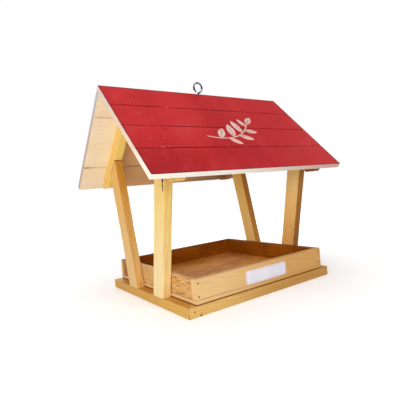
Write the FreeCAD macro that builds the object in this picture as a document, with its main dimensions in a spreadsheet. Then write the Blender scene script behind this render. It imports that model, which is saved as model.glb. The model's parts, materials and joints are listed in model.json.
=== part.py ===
"""Bird table: a roofed wooden feeding table that stands on its base or hangs by a screw eye.

The origin is below the middle of the ridge, level with the underside. X runs along the ridge,
the front is towards -Y and Z is up. All sizes are millimetres and degrees. The base, the posts
and the tray are drawn about the middle of the base, which stands a little forward of the ridge.
"""
import FreeCAD, Part

import math
import os
import re
from collections import namedtuple

import Sketcher

# Driving sizes, one cell of the spreadsheet each.
SIZES = (
    # Base frame of four rails laid flat
    ("base_length", 278),
    ("base_depth", 240),
    ("base_thickness", 14),
    ("base_rail_width", 28),
    ("base_forward", 7.5),
    ("base_corner_bevel", 1),
    # Posts, rafters and ridge batten
    ("batten_thickness", 13.5),
    ("arris_bevel", 0.8),
    ("post_width", 27.5),
    ("post_lean", 11.6),
    ("post_foot_inset", 27),
    ("rafter_depth", 20),
    ("rafter_tail_height", 9),
    ("front_rafter_setback", 4),
    ("back_rafter_setback", 6.5),
    ("ridge_batten_depth", 28),
    # Roof boards
    ("roof_pitch", 45),
    ("ridge_height", 321),
    ("gable_overhang", 40),
    ("roof_board_width", 49),
    ("roof_board_thickness", 8),
    ("roof_board_gap", 0.3),
    ("v_groove_depth", 0.9),
    ("tongue_length", 3.5),
    ("tongue_thickness", 2.6),
    ("tongue_clearance", 0.2),
    # Tray
    ("tray_setback", 2),
    ("tray_side_clearance", 0.8),
    ("tray_rest_clearance", 0.4),
    ("tray_wall_thickness", 9),
    ("tray_wall_height", 27.6),
    ("tray_floor_thickness", 5),
    ("tray_edge_bevel", 0.8),
    # Screw eye
    ("eye_offset", -3),
    ("eye_wire", 3.4),
    ("eye_ring_radius", 8.2),
    ("eye_ring_height", 10.8),
    ("eye_neck_radius", 2.5),
    ("eye_ring_gap", 0.6),
    ("eye_shank_length", 32),
    # Nails of square wire, without heads
    ("nail_width", 1.6),
    ("nail_clearance", 0.1),
    ("nail_sink", 0.3),
    ("base_nail_length", 40),
    ("base_nail_inset", 9),
    ("base_nail_height", 4.5),
    ("base_nail_step", 3),
    ("tray_nail_length", 22),
    ("tray_nail_spacing", 17.6),
    ("floor_nail_length", 18),
    ("floor_nail_inset", 45),
    ("roof_nail_length", 22),
    ("ridge_nail_length", 32),
    ("ridge_nail_spacing", 7),
    ("ridge_nail_drop", 7),
    ("post_head_nail_length", 34),
    ("post_base_nail_length", 38),
    ("post_base_nail_inset", 7),
    ("toe_nail_length", 20),
    ("toe_nail_height", 6),
    ("toe_nail_angle", 50),
)

BOARDS = 4                                  # boards on each slope
FRONT_BACK = ((-1, "front"), (1, "back"))   # sign of Y
LEFT_RIGHT = ((-1, "left"), (1, "right"))   # sign of X
X_AXIS = FreeCAD.Vector(1, 0, 0)
Y_AXIS = FreeCAD.Vector(0, 1, 0)
Z_AXIS = FreeCAD.Vector(0, 0, 1)

# Formulas that several pieces share
BASE_MIDDLE = "-base_forward"
BATTEN_X = "(base_length - batten_thickness) / 2"
TRAY_HALF_WIDTH = "(base_length / 2 - batten_thickness - tray_side_clearance)"
TRAY_HALF_DEPTH = "(base_depth / 2 - tray_setback)"
TRAY_BOTTOM = "(base_thickness + tray_rest_clearance)"
TRAY_WALL_FOOT = "(%s + tray_floor_thickness)" % TRAY_BOTTOM
POST_FOOT_OUTER = "(post_foot_inset + post_width / cos(post_lean))"
POST_FOOT_MIDDLE = "(post_foot_inset + post_width / 2 / cos(post_lean))"
RAFTER_UNDERSIDE = "(roof_board_thickness + rafter_depth)"
RIDGE_BATTEN_TOP = ("(ridge_height - roof_board_thickness / cos(roof_pitch)"
                    " - batten_thickness / 2 * tan(roof_pitch))")

# A nail by the middle of its head end and by the turn of +Z about an axis that aims it
Nail = namedtuple("Nail", "x y z axis angle")

doc = FreeCAD.newDocument("bird_table")
sheet = doc.addObject("Spreadsheet::Sheet", "sizes")
for row, (alias, value) in enumerate(SIZES, start=1):
    sheet.set("A%d" % row, alias)
    sheet.set("B%d" % row, str(value))
    sheet.setAlias("B%d" % row, alias)
doc.recompute()

aliases = {alias for alias, _ in SIZES}
parts = []
origins = {}


def formula(text):
    """Point the size names in a formula to the spreadsheet."""
    return re.sub(r"[a-z_]+", lambda word: ("sizes." if word[0] in aliases else "") + word[0], text)


def measure(text):
    """Present value of a formula."""
    return float(sheet.evalExpression(formula(text)))


def bind(item, **formulas):
    """Bind properties to formulas; two underscores stand for a dot in a property's path."""
    for path, text in formulas.items():
        item.setExpression(path.replace("__", "."), formula(text))


def place(item, x="0", y="0", z="0", axis=X_AXIS, angle="0"):
    """Bind an object's position and its turn about one axis."""
    item.Placement = FreeCAD.Placement(FreeCAD.Vector(), FreeCAD.Rotation(axis, 1))
    bind(item, Placement__Base__x=x, Placement__Base__y=y, Placement__Base__z=z,
         Placement__Rotation__Angle=angle)


def new_body(label, x="0", y="0", z="0"):
    body = doc.addObject("PartDesign::Body", label)
    body.Label = label
    bind(body, Placement__Base__x=x, Placement__Base__y=y, Placement__Base__z=z)
    origins[label] = (x, y, z)
    parts.append(body)
    return body


def new_sketch(body, name, plane):
    sketch = body.newObject("Sketcher::SketchObject", "%s_%s" % (body.Name, name))
    origin_plane = next(f for f in body.Origin.OriginFeatures if f.Role == plane)
    sketch.AttachmentSupport = [(origin_plane, "")]
    sketch.MapMode = "FlatFace"
    return sketch


def constrain(sketch, kind, *where, to):
    """Add a dimension to a sketch and bind it to a formula."""
    index = sketch.addConstraint(Sketcher.Constraint(kind, *where, measure(to)))
    sketch.setExpression("Constraints[%d]" % index, formula(to))


def polygon(body, plane, corners):
    """Sketch with straight sides, each corner a pair of formulas measured from the origin."""
    sketch = new_sketch(body, "profile", plane)
    points = [FreeCAD.Vector(measure(across), measure(up), 0) for across, up in corners]
    for point, following in zip(points, points[1:] + points[:1]):
        sketch.addGeometry(Part.LineSegment(point, following))
    for i, (across, up) in enumerate(corners):
        sketch.addConstraint(Sketcher.Constraint("Coincident", i, 2, (i + 1) % len(corners), 1))
        constrain(sketch, "DistanceX", -1, 1, i, 1, to=across)
        constrain(sketch, "DistanceY", -1, 1, i, 1, to=up)
    return sketch


def rectangle(x_start, x_end, y_start, y_end):
    return ((x_start, y_start), (x_end, y_start), (x_end, y_end), (x_start, y_end))


def pad(body, sketch, length, side="One side"):
    feature = body.newObject("PartDesign::Pad", body.Name + "_pad")
    feature.Profile = sketch
    feature.SideType = side
    bind(feature, Length=length)
    doc.recompute()


def bevel(body, size, chosen):
    """Chamfer the edges of the body's last feature that chosen(edge) picks."""
    base = body.Tip
    edges = ["Edge%d" % i for i, edge in enumerate(base.Shape.Edges, start=1) if chosen(edge)]
    feature = body.newObject("PartDesign::Chamfer", body.Name + "_bevel")
    feature.Base = (base, edges)
    bind(feature, Size=size)
    doc.recompute()


def runs_along(edge, direction):
    return abs(edge.tangentAt(edge.FirstParameter).dot(direction)) > 0.999


def corner(nail, distance, width):
    """Corner of a square section of a nail, at a distance down from its head end."""
    sine, cosine, half = "sin(%s)" % nail.angle, "cos(%s)" % nail.angle, "(%s) / 2" % width
    if nail.axis == Y_AXIS:
        x = "%s + (%s) * %s - %s * %s" % (nail.x, distance, sine, half, cosine)
        z = "%s + (%s) * %s + %s * %s" % (nail.z, distance, cosine, half, sine)
        return x, "%s - %s" % (nail.y, half), z
    y = "%s - (%s) * %s - %s * %s" % (nail.y, distance, sine, half, cosine)
    z = "%s + (%s) * %s - %s * %s" % (nail.z, distance, cosine, half, sine)
    return "%s - %s" % (nail.x, half), y, z


def cut(body, kind, turn_axis, angle, position, **sizes):
    """Cut a simple form out of a body; its position is measured from the model's origin."""
    before = body.Shape.Volume
    hole = body.newObject("PartDesign::Subtractive" + kind, body.Name + "_hole")
    bind(hole, **sizes)
    position = ("%s - (%s)" % pair for pair in zip(position, origins[body.Label]))
    place(hole, *position, turn_axis, angle)
    doc.recompute()
    if body.Shape.Volume > before - 1:
        raise ValueError("hole misses " + body.Label)


def drive(label, length, nails):
    """One node of equal nails, with a hole for each in the pieces that it holds together.

    A hole is open at the head end and a little too deep.
    """
    hole_width = "(nail_width + 2 * nail_clearance)"
    hole_length = "%s + nail_sink + 2 * nail_width" % length
    wires = []
    for nail, held in nails:
        wire = doc.addObject("Part::Box", label + "_wire")
        bind(wire, Length="nail_width", Width="nail_width", Height=length)
        place(wire, *corner(nail, "nail_sink", "nail_width"), nail.axis, nail.angle)
        wires.append(wire)
        mouth = corner(nail, "-nail_width", hole_width)
        for body in held:
            cut(body, "Box", nail.axis, nail.angle, mouth,
                Length=hole_width, Width=hole_width, Height=hole_length)
    group = doc.addObject("Part::Compound", label)
    group.Label = label
    group.Links = wires
    parts.append(group)


def on_slope(side, down, depth):
    """Y and Z of a point of a roof slope, down it from the ridge and in under its surface."""
    y = "%d * ((%s) * cos(roof_pitch) - (%s) * sin(roof_pitch))" % (side, down, depth)
    z = "ridge_height - (%s) * sin(roof_pitch) - (%s) * cos(roof_pitch)" % (down, depth)
    return y, z


def on_post(side, foot, height):
    """Y of a point of a post that stands foot from the middle, at a height above the base."""
    return "%d * (%s + (%s) * tan(post_lean))" % (side, foot, height)


def under_rafter(side, foot):
    """Height above the base at which a line of a post meets the underside of its rafter."""
    rise = "ridge_height - base_thickness - %s / cos(roof_pitch)" % RAFTER_UNDERSIDE
    run = "(%s - %d * base_forward) * tan(roof_pitch)" % (foot, side)
    return "(%s - %s) / (1 + tan(post_lean) * tan(roof_pitch))" % (rise, run)


# Base frame: the ends of the rails are mitred.
def base_rails():
    rails = {}
    outer_x, outer_y = "base_length / 2", "base_depth / 2"
    inner_x, inner_y = "(base_length / 2 - base_rail_width)", "(base_depth / 2 - base_rail_width)"
    for side, word in FRONT_BACK:
        y_outer, y_inner = "%d * %s" % (side, outer_y), "%d * %s" % (side, inner_y)
        rails[word] = mitred_rail(word, X_AXIS, (
            ("-" + outer_x, y_outer), (outer_x, y_outer), (inner_x, y_inner), ("-" + inner_x, y_inner)))
    for side, word in LEFT_RIGHT:
        x_outer, x_inner = "%d * %s" % (side, outer_x), "%d * %s" % (side, inner_x)
        rails[word] = mitred_rail(word, Y_AXIS, (
            (x_outer, "-" + outer_y), (x_outer, outer_y), (x_inner, inner_y), (x_inner, "-" + inner_y)))
    return rails


def mitred_rail(word, direction, corners):
    """One base rail from its four corners, the first two at its sharp ends."""
    rail = new_body("base_%s_rail" % word, y=BASE_MIDDLE)
    pad(rail, polygon(rail, "XY_Plane", corners), "base_thickness")
    sharp_ends = [FreeCAD.Vector(measure(x), measure(y), 0) for x, y in corners[:2]]
    bevel(rail, "base_corner_bevel", lambda edge: runs_along(edge, Z_AXIS) and min(
        end.distanceToLine(edge.Vertexes[0].Point, Z_AXIS) for end in sharp_ends) < 0.01)
    bevel(rail, "arris_bevel", lambda edge: runs_along(edge, direction))
    return rail


# Posts lean outwards from their feet, each under a rafter of the same thickness. A rafter's tail
# is cut square for rafter_tail_height and then level.
def posts_and_rafters():
    posts, rafters = {}, {}
    for end, left_right in LEFT_RIGHT:
        for side, front_back in FRONT_BACK:
            x = "%d * %s" % (end, BATTEN_X)
            post = new_body("post_%s_%s" % (front_back, left_right), x, BASE_MIDDLE)
            inner, outer = "post_foot_inset", POST_FOOT_OUTER
            ends = ((inner, "0"), (outer, "0"),
                    (outer, under_rafter(side, outer)), (inner, under_rafter(side, inner)))
            corners = [(on_post(side, foot, height), "base_thickness + " + height) for foot, height in ends]
            pad(post, polygon(post, "YZ_Plane", corners), "batten_thickness", "Symmetric")
            bevel(post, "arris_bevel", lambda edge: edge.Length > 2 * measure("post_width"))
            posts[end, side] = post

            rafter = new_body("rafter_%s_%s" % (front_back, left_right), x)
            foot = "%d * roof_board_width - %s_rafter_setback" % (BOARDS, front_back)
            level_cut_end = foot + " - (rafter_depth - rafter_tail_height) / tan(roof_pitch)"
            corners = (
                on_slope(side, "roof_board_thickness * tan(roof_pitch)", "roof_board_thickness"),
                on_slope(side, foot, "roof_board_thickness"),
                on_slope(side, foot, "roof_board_thickness + rafter_tail_height"),
                on_slope(side, level_cut_end, RAFTER_UNDERSIDE),
                on_slope(side, RAFTER_UNDERSIDE + " * tan(roof_pitch)", RAFTER_UNDERSIDE),
            )
            pad(rafter, polygon(rafter, "YZ_Plane", corners), "batten_thickness", "Symmetric")
            bevel(rafter, "arris_bevel", lambda edge: edge.Length > 2 * measure("rafter_depth"))
            rafters[end, side] = rafter
    return posts, rafters


# The ridge batten stands on edge between the rafter pairs, its top corners against the boards.
def ridge_piece():
    batten = new_body("ridge_batten")
    z_low, z_high = RIDGE_BATTEN_TOP + " - ridge_batten_depth", RIDGE_BATTEN_TOP
    corners = rectangle("-batten_thickness / 2", "batten_thickness / 2", z_low, z_high)
    pad(batten, polygon(batten, "YZ_Plane", corners), "base_length - 2 * batten_thickness", "Symmetric")
    return batten


# Roof boards run the length of the ridge. Each has a tongue along its upper edge, a groove
# along its lower edge and bevels that make V-shaped lines with its neighbours.
def roof_board(side, number, label):
    upper = "%d * roof_board_width" % number
    lower = "(%d * roof_board_width - roof_board_gap)" % (number + 1)
    tongue_top = "(roof_board_thickness - tongue_thickness) / 2"
    tongue_base = "(roof_board_thickness + tongue_thickness) / 2"
    groove_end = lower + " - tongue_length - tongue_clearance"
    bevel_base = "roof_board_thickness - v_groove_depth / 2"
    if number:
        profile = [
            (upper + " + v_groove_depth / 2", "roof_board_thickness"),
            (upper, bevel_base),
            (upper, tongue_base),
            (upper + " - tongue_length", tongue_base),
            (upper + " - tongue_length", tongue_top),
            (upper, tongue_top),
            (upper, "v_groove_depth"),
            (upper + " + v_groove_depth", "0"),
        ]
    elif side < 0:
        # The front slope's top board covers the end of the back slope's, level with its face.
        profile = [
            ("-roof_board_thickness * cos(2 * roof_pitch) / sin(2 * roof_pitch)", "roof_board_thickness"),
            ("0", "0"),
        ]
    else:
        profile = [
            ("roof_board_thickness * tan(roof_pitch)", "roof_board_thickness"),
            ("roof_board_thickness / sin(2 * roof_pitch)", "0"),
        ]
    if number < BOARDS - 1:
        profile += [
            (lower + " - v_groove_depth", "0"),
            (lower, "v_groove_depth"),
            (lower, tongue_top + " - tongue_clearance"),
            (groove_end, tongue_top + " - tongue_clearance"),
            (groove_end, tongue_base + " + tongue_clearance"),
            (lower, tongue_base + " + tongue_clearance"),
            (lower, bevel_base),
            (lower + " - v_groove_depth / 2", "roof_board_thickness"),
        ]
    else:
        eave = "%d * roof_board_width" % BOARDS
        profile += [(eave, "0"), (eave, "roof_board_thickness")]
    board = new_body(label)
    corners = [on_slope(side, down, depth) for down, depth in profile]
    pad(board, polygon(board, "YZ_Plane", corners), "base_length + 2 * gable_overhang", "Symmetric")
    return board


# The tray is loose: it rests on the base between the posts and slides out to the front or back.
def tray_pieces():
    inner_x = "(%s - tray_wall_thickness)" % TRAY_HALF_WIDTH
    inner_y = "(%s - tray_wall_thickness)" % TRAY_HALF_DEPTH
    outer_x, outer_y = TRAY_HALF_WIDTH, TRAY_HALF_DEPTH
    floor = new_body("tray_floor", y=BASE_MIDDLE, z=TRAY_BOTTOM)
    corners = rectangle("-" + outer_x, outer_x, "-" + outer_y, outer_y)
    pad(floor, polygon(floor, "XY_Plane", corners), "tray_floor_thickness")
    walls = {}
    for side, word in FRONT_BACK:
        wall = walls[word] = new_body("tray_%s_wall" % word, y=BASE_MIDDLE, z=TRAY_WALL_FOOT)
        y_outer, y_inner = "%d * %s" % (side, outer_y), "%d * %s" % (side, inner_y)
        corners = rectangle("-" + outer_x, outer_x, y_outer, y_inner)
        pad(wall, polygon(wall, "XY_Plane", corners), "tray_wall_height")
    for side, word in LEFT_RIGHT:
        wall = walls[word] = new_body("tray_%s_wall" % word, y=BASE_MIDDLE, z=TRAY_WALL_FOOT)
        x_outer, x_inner = "%d * %s" % (side, outer_x), "%d * %s" % (side, inner_x)
        corners = rectangle(x_outer, x_inner, "-" + inner_y, inner_y)
        pad(wall, polygon(wall, "XY_Plane", corners), "tray_wall_height")
    top = measure("tray_wall_height")
    for word, wall in walls.items():
        direction = X_AXIS if word in ("front", "back") else Y_AXIS
        bevel(wall, "tray_edge_bevel",
              lambda edge: runs_along(edge, direction) and edge.Vertexes[0].Z > top - 0.01)
    return floor, walls


# The screw eye is one bent wire: shank, a short neck bend and a ring that stops beside the neck.
def bent_eye():
    eye = new_body("screw_eye", x="eye_offset", z="ridge_height")
    section = new_sketch(eye, "section", "XY_Plane")
    bind(section, AttachmentOffset__Base__z="-eye_shank_length")
    section.addGeometry(Part.Circle(FreeCAD.Vector(), Z_AXIS, measure("eye_wire / 2")))
    section.addConstraint(Sketcher.Constraint("Coincident", 0, 3, -1, 1))
    constrain(section, "Diameter", 0, to="eye_wire")

    ring_radius, bend_radius = measure("eye_ring_radius"), measure("eye_neck_radius")
    centre_height = measure("eye_ring_height")
    neck_height = centre_height - math.sqrt(ring_radius ** 2 + 2 * ring_radius * bend_radius)
    meeting = math.atan2(centre_height - neck_height, -bend_radius)
    ring_end = 1.5 * math.pi - math.asin(measure("(eye_wire + eye_ring_gap) / eye_ring_radius"))
    ring_circle = Part.Circle(FreeCAD.Vector(0, centre_height, 0), Z_AXIS, ring_radius)
    bend_circle = Part.Circle(FreeCAD.Vector(bend_radius, neck_height, 0), Z_AXIS, bend_radius)
    bottom = FreeCAD.Vector(0, -measure("eye_shank_length"), 0)
    path = new_sketch(eye, "path", "XZ_Plane")
    shank, bend, ring = 0, 1, 2
    path.addGeometry(Part.LineSegment(bottom, FreeCAD.Vector(0, neck_height, 0)))
    path.addGeometry(Part.ArcOfCircle(bend_circle, meeting, math.pi))
    path.addGeometry(Part.ArcOfCircle(ring_circle, meeting - math.pi, ring_end))
    path.addConstraint(Sketcher.Constraint("Vertical", shank))
    path.addConstraint(Sketcher.Constraint("PointOnObject", shank, 1, -2))
    constrain(path, "DistanceY", -1, 1, shank, 1, to="-eye_shank_length")
    path.addConstraint(Sketcher.Constraint("Tangent", shank, 2, bend, 2))
    path.addConstraint(Sketcher.Constraint("Tangent", bend, 1, ring, 1))
    path.addConstraint(Sketcher.Constraint("PointOnObject", ring, 3, -2))
    constrain(path, "DistanceY", -1, 1, ring, 3, to="eye_ring_height")
    constrain(path, "Radius", bend, to="eye_neck_radius")
    constrain(path, "Radius", ring, to="eye_ring_radius")
    constrain(path, "DistanceX", -1, 1, ring, 2, to="-(eye_wire + eye_ring_gap)")
    doc.recompute()

    pipe = eye.newObject("PartDesign::AdditivePipe", "screw_eye_wire")
    pipe.Profile = section
    pipe.Spine = path
    doc.recompute()
    wire_volume = section.Shape.Edges[0].Curve.Radius ** 2 * math.pi * path.Shape.Length
    if abs(eye.Shape.Volume / wire_volume - 1) > 0.01:
        raise ValueError("screw eye is not a full wire")
    return eye


# Two nails across each mitre, one each way, the one from the front or back above the other
def base_rail_nails():
    for side, front_back in FRONT_BACK:
        for end, left_right in LEFT_RIGHT:
            held = (rails[front_back], rails[left_right])
            x = "%d * (base_length / 2 - base_nail_inset)" % end
            y = "%d * base_depth / 2 - base_forward" % side
            z = "base_nail_height + base_nail_step"
            yield Nail(x, y, z, X_AXIS, str(90 * side)), held
            x = "%d * base_length / 2" % end
            y = "%d * (base_depth / 2 - base_nail_inset) - base_forward" % side
            yield Nail(x, y, "base_nail_height", Y_AXIS, str(-90 * end)), held


# Two nails, one above the other, through the front or back wall at each corner of the tray
def tray_corner_nails():
    for side, front_back in FRONT_BACK:
        for end, left_right in LEFT_RIGHT:
            for step in (-1, 1):
                x = "%d * (%s - tray_wall_thickness / 2)" % (end, TRAY_HALF_WIDTH)
                y = "%d * %s - base_forward" % (side, TRAY_HALF_DEPTH)
                z = "%s + (tray_wall_height + %d * tray_nail_spacing) / 2" % (TRAY_WALL_FOOT, step)
                nail = Nail(x, y, z, X_AXIS, str(90 * side))
                yield nail, (tray_walls[front_back], tray_walls[left_right])


# Two nails up through the floor into each wall
def tray_floor_nails():
    wall_x = "(%s - tray_wall_thickness / 2)" % TRAY_HALF_WIDTH
    wall_y = "(%s - tray_wall_thickness / 2)" % TRAY_HALF_DEPTH
    nail_x = "(%s - floor_nail_inset)" % TRAY_HALF_WIDTH
    nail_y = "(%s - floor_nail_inset)" % TRAY_HALF_DEPTH
    for end in (-1, 1):
        for sign, word in FRONT_BACK:
            x, y = "%d * %s" % (end, nail_x), "%d * %s - base_forward" % (sign, wall_y)
            yield Nail(x, y, TRAY_BOTTOM, X_AXIS, "0"), (tray_floor, tray_walls[word])
        for sign, word in LEFT_RIGHT:
            x, y = "%d * %s" % (sign, wall_x), "%d * %s - base_forward" % (end, nail_y)
            yield Nail(x, y, TRAY_BOTTOM, X_AXIS, "0"), (tray_floor, tray_walls[word])


# One nail through each end of a board into the middle of the rafter under it
def roof_board_nails():
    for side, _ in FRONT_BACK:
        for end, _ in LEFT_RIGHT:
            for number in range(BOARDS):
                y, z = on_slope(side, "(%d + 1 / 2) * roof_board_width" % number, "0")
                angle = "180 - %d * roof_pitch" % side
                nail = Nail("%d * %s" % (end, BATTEN_X), y, z, X_AXIS, angle)
                yield nail, (boards[side, number], rafters[end, side])


# One nail through the top of each rafter into the end of the ridge batten
def ridge_nails():
    for side, _ in FRONT_BACK:
        for end, _ in LEFT_RIGHT:
            y = "%d * ridge_nail_spacing / 2" % side
            z = RIDGE_BATTEN_TOP + " - ridge_nail_drop"
            nail = Nail("%d * base_length / 2" % end, y, z, Y_AXIS, str(-90 * end))
            yield nail, (rafters[end, side], ridge_batten)


# One nail down through each rafter, under the boards, into the end of its post
def post_head_nails():
    for side, _ in FRONT_BACK:
        for end, _ in LEFT_RIGHT:
            height = under_rafter(side, POST_FOOT_MIDDLE)
            y = on_post(side, POST_FOOT_MIDDLE, height) + " - base_forward"
            y += " + %d * rafter_depth * sin(roof_pitch)" % side
            z = "base_thickness + %s + rafter_depth * cos(roof_pitch)" % height
            nail = Nail("%d * %s" % (end, BATTEN_X), y, z, X_AXIS, "180 - %d * roof_pitch" % side)
            yield nail, (rafters[end, side], posts[end, side])


# One nail up through the side rail into the foot of each post, and one on the slant from its
# inner face down into the rail
def post_base_nails():
    for side, _ in FRONT_BACK:
        for end, left_right in LEFT_RIGHT:
            y = "%d * (%s - post_base_nail_inset) - base_forward" % (side, POST_FOOT_OUTER)
            nail = Nail("%d * %s" % (end, BATTEN_X), y, "0", X_AXIS, "0")
            yield nail, (rails[left_right], posts[end, side])


def post_toe_nails():
    for side, _ in FRONT_BACK:
        for end, left_right in LEFT_RIGHT:
            y = on_post(side, "post_foot_inset", "toe_nail_height") + " - base_forward"
            z = "base_thickness + toe_nail_height"
            angle = "%d * (90 + toe_nail_angle)" % -side
            nail = Nail("%d * %s" % (end, BATTEN_X), y, z, X_AXIS, angle)
            yield nail, (posts[end, side], rails[left_right])


rails = base_rails()
posts, rafters = posts_and_rafters()
ridge_batten = ridge_piece()
boards = {(side, number): roof_board(side, number, "roof_%s_board_%d" % (word, number + 1))
          for side, word in FRONT_BACK for number in range(BOARDS)}
tray_floor, tray_walls = tray_pieces()
screw_eye = bent_eye()

# The screw eye's shank goes down through the ridge into the batten.
for body in (boards[-1, 0], boards[1, 0], ridge_batten):
    shank_end = "ridge_height - eye_shank_length - nail_clearance"
    cut(body, "Cylinder", X_AXIS, "0", ("eye_offset", "0", shank_end),
        Radius="eye_wire / 2 + nail_clearance", Height="eye_shank_length + eye_wire")

drive("base_rail_nails", "base_nail_length", base_rail_nails())
drive("tray_corner_nails", "tray_nail_length", tray_corner_nails())
drive("tray_floor_nails", "floor_nail_length", tray_floor_nails())
drive("roof_board_nails", "roof_nail_length", roof_board_nails())
drive("ridge_nails", "ridge_nail_length", ridge_nails())
drive("post_head_nails", "post_head_nail_length", post_head_nails())
drive("post_base_nails", "post_base_nail_length", post_base_nails())
drive("post_toe_nails", "toe_nail_length", post_toe_nails())
doc.recompute()

for item in doc.Objects:
    if "Invalid" in item.State or "Error" in item.State:
        raise ValueError("%s failed: %s" % (item.Name, item.State))
for part in parts:
    if part.Shape.isNull() or not part.Shape.isValid():
        raise ValueError("bad shape: " + part.Label)

os.makedirs("parts", exist_ok=True)
for part in parts:
    part.Shape.exportStep("parts/%s.step" % part.Label)
    print("%-22s solids %2d  volume %9.1f" % (part.Label, len(part.Shape.Solids), part.Shape.Volume))
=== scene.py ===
"""Looks of a roofed bird table: pine frame, red boarded roof, loose feeding tray and a steel screw eye.

Lengths are in metres, as in the frame. The tables of marks, leaves and the stem are in millimetres.
"""

import json
import math
import random

import bmesh
import bpy
from mathutils import Matrix, Vector

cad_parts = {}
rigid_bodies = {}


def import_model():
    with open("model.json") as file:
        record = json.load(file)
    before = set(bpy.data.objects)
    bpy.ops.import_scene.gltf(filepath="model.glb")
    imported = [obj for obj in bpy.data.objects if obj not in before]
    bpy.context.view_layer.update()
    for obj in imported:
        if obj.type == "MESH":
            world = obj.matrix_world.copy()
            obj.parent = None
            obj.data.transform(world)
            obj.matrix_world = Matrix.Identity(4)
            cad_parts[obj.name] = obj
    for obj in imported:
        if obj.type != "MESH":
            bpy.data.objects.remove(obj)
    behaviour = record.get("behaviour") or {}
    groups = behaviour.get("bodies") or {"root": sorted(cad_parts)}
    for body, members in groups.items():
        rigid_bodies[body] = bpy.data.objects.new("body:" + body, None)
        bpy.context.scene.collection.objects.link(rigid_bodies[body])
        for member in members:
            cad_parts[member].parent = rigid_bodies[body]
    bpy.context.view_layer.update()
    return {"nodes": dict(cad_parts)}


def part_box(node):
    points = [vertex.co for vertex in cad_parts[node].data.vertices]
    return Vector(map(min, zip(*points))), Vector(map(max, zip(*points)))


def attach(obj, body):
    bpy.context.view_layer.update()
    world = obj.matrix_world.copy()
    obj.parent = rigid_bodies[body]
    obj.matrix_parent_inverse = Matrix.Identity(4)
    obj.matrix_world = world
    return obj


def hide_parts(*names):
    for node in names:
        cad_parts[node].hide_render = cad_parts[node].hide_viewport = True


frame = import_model()
nodes = frame["nodes"]
chance = random.Random(11)

MM = 0.001

# The sine and the cosine of the roof's 45 degrees
DIAGONAL = math.sqrt(0.5)

# The roof, the base and the tray, from the frame's own pieces
roof_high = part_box("roof_front_board_1")[1]
rafter_low, rafter_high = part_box("rafter_front_right")
base_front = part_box("base_front_rail")[0].y
base_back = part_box("base_back_rail")[1].y
tray_low, tray_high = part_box("tray_front_wall")
RIDGE_HEIGHT = roof_high.z
ROOF_END = roof_high.x
BOARD_WIDTH = (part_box("roof_front_board_2")[0].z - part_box("roof_front_board_3")[0].z) / DIAGONAL
SLOPE_LENGTH = 4 * BOARD_WIDTH
ROOF_NAIL_OUT = (rafter_low.x + rafter_high.x) / 2
TABLE_MIDDLE = (base_front + base_back) / 2
BASE_FRONT = (base_back - base_front) / 2
BASE_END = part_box("base_right_rail")[1].x
TRAY_SIDE = tray_high.x
TRAY_FRONT_OUT = TABLE_MIDDLE - tray_low.y
TRAY_WALL = tray_high.y - tray_low.y

# The posts' lean, and how far below the roof's outer face their heads end
POST_LEAN = math.radians(11.6)
POST_HEAD_DEPTH = 28 * MM

# Ways that faces look and pieces run
SIDEWAYS = (1, 0, 0)
LENGTHWAYS = (0, 1, 0)
FORWARD = (0, -1, 0)
UP = (0, 0, 1)
FRONT_SLOPE = (0, -DIAGONAL, DIAGONAL)
BACK_SLOPE = (0, DIAGONAL, DIAGONAL)


# Small steps of a finish


def tone(red, green, blue):
    """A colour as it is seen, from 0 to 255, in the numbers that a shader takes."""
    seen = (red / 255, green / 255, blue / 255)
    return (*(s / 12.92 if s <= 0.04045 else ((s + 0.055) / 1.055) ** 2.4 for s in seen), 1)


def new_finish(name):
    """A new material with an empty tree."""
    finish = bpy.data.materials.new(name)
    finish.use_nodes = True
    finish.node_tree.nodes.clear()
    return finish, finish.node_tree


def step(tree, kind, inputs=None, **settings):
    """Adds one shader node. An input that is another node's output is linked, and any other is set."""
    node = tree.nodes.new("ShaderNode" + kind)
    for name, value in settings.items():
        setattr(node, name, value)
    for name, value in (inputs or {}).items():
        if isinstance(value, bpy.types.NodeSocket):
            tree.links.new(value, node.inputs[name])
        else:
            node.inputs[name].default_value = value
    return node


def maths(tree, operation, *values):
    return step(tree, "Math", dict(enumerate(values)), operation=operation).outputs[0]


def less(tree, value, other):
    """A value less another."""
    return maths(tree, "SUBTRACT", value, other)


def scaled(tree, value, factor, base):
    """A value times a factor, on top of a base."""
    return maths(tree, "MULTIPLY_ADD", value, factor, base)


def both(tree, first, second):
    """Two shares multiplied, so that it is 1 only where both are."""
    return maths(tree, "MULTIPLY", first, second)


def either(tree, first, second):
    """The greater of two shares or lengths."""
    return maths(tree, "MAXIMUM", first, second)


def vector(tree, operation, *values):
    """One step of vector maths. It gives a number for a dot product or a length."""
    node = step(tree, "VectorMath", dict(enumerate(values)), operation=operation)
    return node.outputs["Value" if operation in ("DOT_PRODUCT", "LENGTH") else "Vector"]


def rise(tree, value, low, high, bottom=0.0, top=1.0):
    """Goes smoothly from bottom to top as the value goes from low to high."""
    inputs = {"Value": value, "From Min": low, "From Max": high, "To Min": bottom, "To Max": top}
    return step(tree, "MapRange", inputs, interpolation_type="SMOOTHSTEP").outputs["Result"]


def fall(tree, value, low, high, top=1.0):
    """Goes smoothly from top to 0 as the value goes from low to high."""
    return rise(tree, value, low, high, top, 0.0)


def noise(tree, place, scale, detail=2.0, roughness=0.5, stretch=None):
    """Soft noise from 0 to 1. A stretch below 1 draws it out along that axis."""
    if stretch:
        place = vector(tree, "MULTIPLY", place, stretch)
    inputs = {"Vector": place, "Scale": scale, "Detail": detail, "Roughness": roughness}
    return step(tree, "TexNoise", inputs).outputs["Fac"]


def mixed(tree, amount, first, second, way="MIX"):
    """Two colours mixed, or one laid over the other as the way says."""
    inputs = {0: amount, 6: first, 7: second}
    node = step(tree, "Mix", inputs, data_type="RGBA", blend_type=way, clamp_factor=True)
    return node.outputs[2]


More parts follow.
